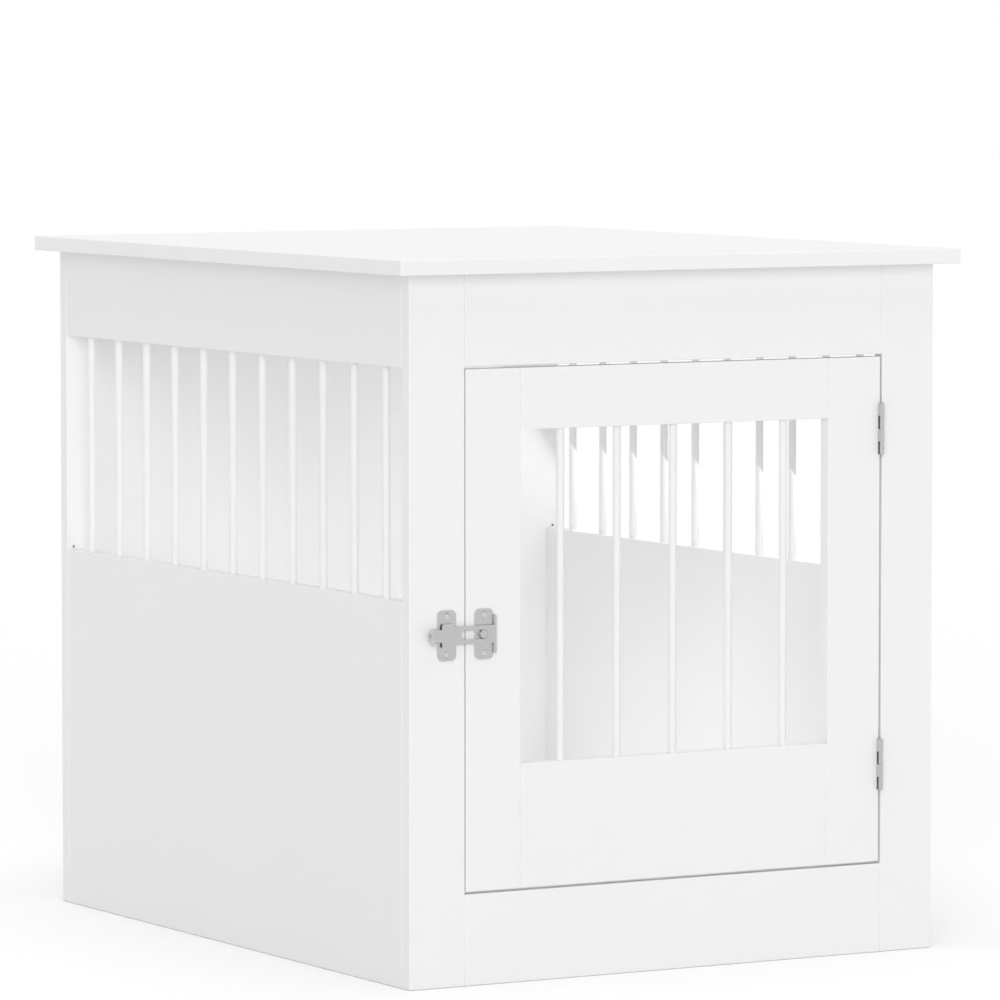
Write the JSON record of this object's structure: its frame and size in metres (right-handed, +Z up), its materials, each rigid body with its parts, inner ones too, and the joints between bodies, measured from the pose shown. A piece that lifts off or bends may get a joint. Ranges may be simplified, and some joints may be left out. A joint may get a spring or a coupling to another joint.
{
  "type": "dog crate end table",
  "caption": "White board-and-bar dog crate that doubles as an end table: barred sides, a barred front door on butt hinges, a flip latch, a solid back and an overhanging flat top.",
  "frame": {"origin": "on the floor, under the middle of the table's footprint", "axes": "+X to the right of someone facing the door, +Y from the door to the back panel, +Z up"},
  "size_m": [0.645, 0.8, 0.71],
  "materials": {
    "white_board": "engineered wood faced and edged in satin white",
    "bar_steel": "round steel bar with a satin white coat",
    "satin_nickel": "pressed sheet steel with a satin nickel finish",
    "beech": "bare turned beech",
    "zinc_alloy": "die-cast zinc alloy and plated steel",
    "screw_steel": "bright zinc-plated steel"
  },
  "bodies": {
    "crate": {"back_panel": "white_board", "back_screws": "screw_steel", "cam_bolts": "zinc_alloy", "cam_nuts": "zinc_alloy", "carcass_dowels": "beech", "floor_panel": "white_board", "frame_hardware_screws": "screw_steel", "front_bottom_rail": "white_board", "front_left_stile": "white_board", "front_right_stile": "white_board", "front_top_rail": "white_board", "latch_keeper_plate": "satin_nickel", "left_bar_01": "bar_steel", "left_bar_02": "bar_steel", "left_bar_03": "bar_steel", "left_bar_04": "bar_steel", "left_bar_05": "bar_steel", "left_bar_06": "bar_steel", "left_bar_07": "bar_steel", "left_bar_08": "bar_steel", "left_bar_09": "bar_steel", "left_bar_10": "bar_steel", "left_bar_11": "bar_steel", "left_lower_board": "white_board", "left_upper_board": "white_board", "lower_hinge_frame_leaf": "satin_nickel", "lower_hinge_pin": "satin_nickel", "right_bar_01": "bar_steel", "right_bar_02": "bar_steel", "right_bar_03": "bar_steel", "right_bar_04": "bar_steel", "right_bar_05": "bar_steel", "right_bar_06": "bar_steel", "right_bar_07": "bar_steel", "right_bar_08": "bar_steel", "right_bar_09": "bar_steel", "right_bar_10": "bar_steel", "right_bar_11": "bar_steel", "right_lower_board": "white_board", "right_upper_board": "white_board", "tabletop": "white_board", "upper_hinge_frame_leaf": "satin_nickel", "upper_hinge_pin": "satin_nickel"},
    "door": {"door_bar_1": "bar_steel", "door_bar_2": "bar_steel", "door_bar_3": "bar_steel", "door_bar_4": "bar_steel", "door_bar_5": "bar_steel", "door_bottom_rail": "white_board", "door_dowels": "beech", "door_hardware_screws": "screw_steel", "door_left_stile": "white_board", "door_right_stile": "white_board", "door_top_rail": "white_board", "upper_hinge_door_leaf": "satin_nickel", "lower_hinge_door_leaf": "satin_nickel", "latch_hinge_plate": "satin_nickel", "latch_pin": "satin_nickel"},
    "latch_strap": {"latch_strap": "satin_nickel"}
  },
  "joints": [
    {"name": "door_hinge", "type": "hinge", "parent": "crate", "child": "door", "pos_m": [0.239, -0.3832, 0.3475], "axis": [0, 0, 1], "range_deg": [0, 180]},
    {"name": "strap_hinge", "type": "hinge", "parent": "door", "child": "latch_strap", "pos_m": [-0.2085, -0.38205, 0.3444], "axis": [0, 0, 1], "range_deg": [0, 170]}
  ]
}
